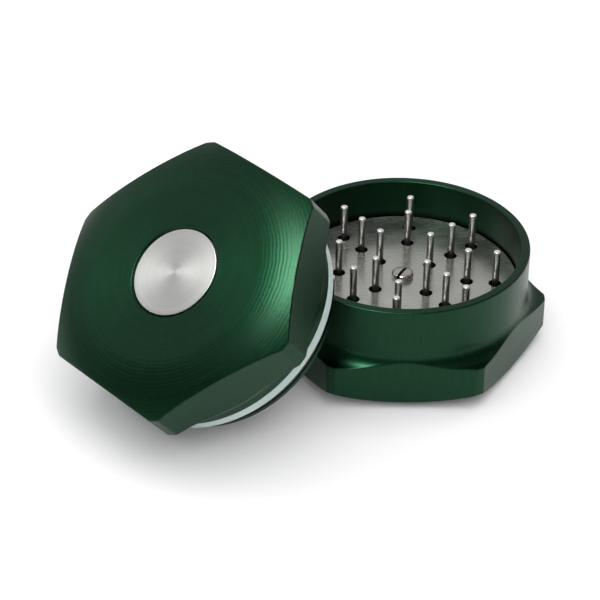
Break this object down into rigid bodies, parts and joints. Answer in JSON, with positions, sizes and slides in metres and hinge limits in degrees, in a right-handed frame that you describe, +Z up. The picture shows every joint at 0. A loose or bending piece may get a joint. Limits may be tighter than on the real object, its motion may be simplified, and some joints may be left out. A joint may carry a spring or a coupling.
{
  "type": "herb grinder",
  "caption": "Palm-sized hand grinder: hexagonal anodised cup with steel needles and a lifting plate, its matching lid leaning on the rim.",
  "frame": {"origin": "centre of the foot's flat face, on the cup's turning axis", "axes": "+Z up along the cup's axis, +X through a corner of the foot's hexagon"},
  "size_m": [0.1148, 0.0867, 0.0547],
  "materials": {
    "green_anodised": "dark green anodised, fine turned and brushed grain, satin",
    "turned_steel": "face turned to a circular grain",
    "pin_steel": "ground and polished round wire",
    "grey_plate": "straight brushed, darkened",
    "screw_steel": "bright pan head",
    "rod_steel": "ground",
    "bronze": "sintered bronze",
    "spring_steel": "drawn wire",
    "slip_ring": "pale grey, satin",
    "seal_rubber": "black, matt"
  },
  "bodies": {
    "base": {"base_shell": "green_anodised", "base_bush": "bronze", "base_spring": "spring_steel", "base_pins_inner": "pin_steel", "base_pins_middle": "pin_steel", "base_pins_outer": "pin_steel"},
    "base_pusher": {"base_button": "turned_steel", "base_push_rod": "rod_steel", "lifter_plate": "grey_plate", "lifter_screw": "screw_steel"},
    "ring": {"slip_ring": "slip_ring"},
    "lid": {"lid_shell": "green_anodised", "lid_bush": "bronze", "lid_spring": "spring_steel", "lid_seal": "seal_rubber", "lid_pins_inner": "pin_steel", "lid_pins_middle": "pin_steel", "lid_pins_outer": "pin_steel"},
    "lid_pusher": {"lid_button": "turned_steel", "lid_push_rod": "rod_steel", "stripper_plate": "grey_plate", "stripper_screw": "screw_steel"}
  },
  "joints": [
    {"name": "base_press", "type": "slide", "parent": "base", "child": "base_pusher", "axis": [0, 0, 1], "range_m": [0, 0.0065], "stiffness_N_per_m": 300, "springref_m": -0.004, "deforming": ["base_spring"]},
    {"name": "lid_lift", "type": "slide", "parent": "base", "child": "ring", "axis": [0, 0, 1], "range_m": [0, 0.06]},
    {"name": "lid_turn", "type": "hinge", "parent": "ring", "child": "lid", "pos_m": [-0.04362, -0.02046, 0.0214], "axis": [-0.4505, -0.4392, 0.7773], "continuous": true},
    {"name": "lid_press", "type": "slide", "parent": "lid", "child": "lid_pusher", "axis": [0.4505, 0.4392, -0.7773], "range_m": [0, 0.0055], "stiffness_N_per_m": 300, "springref_m": -0.004, "deforming": ["lid_spring"]}
  ]
}
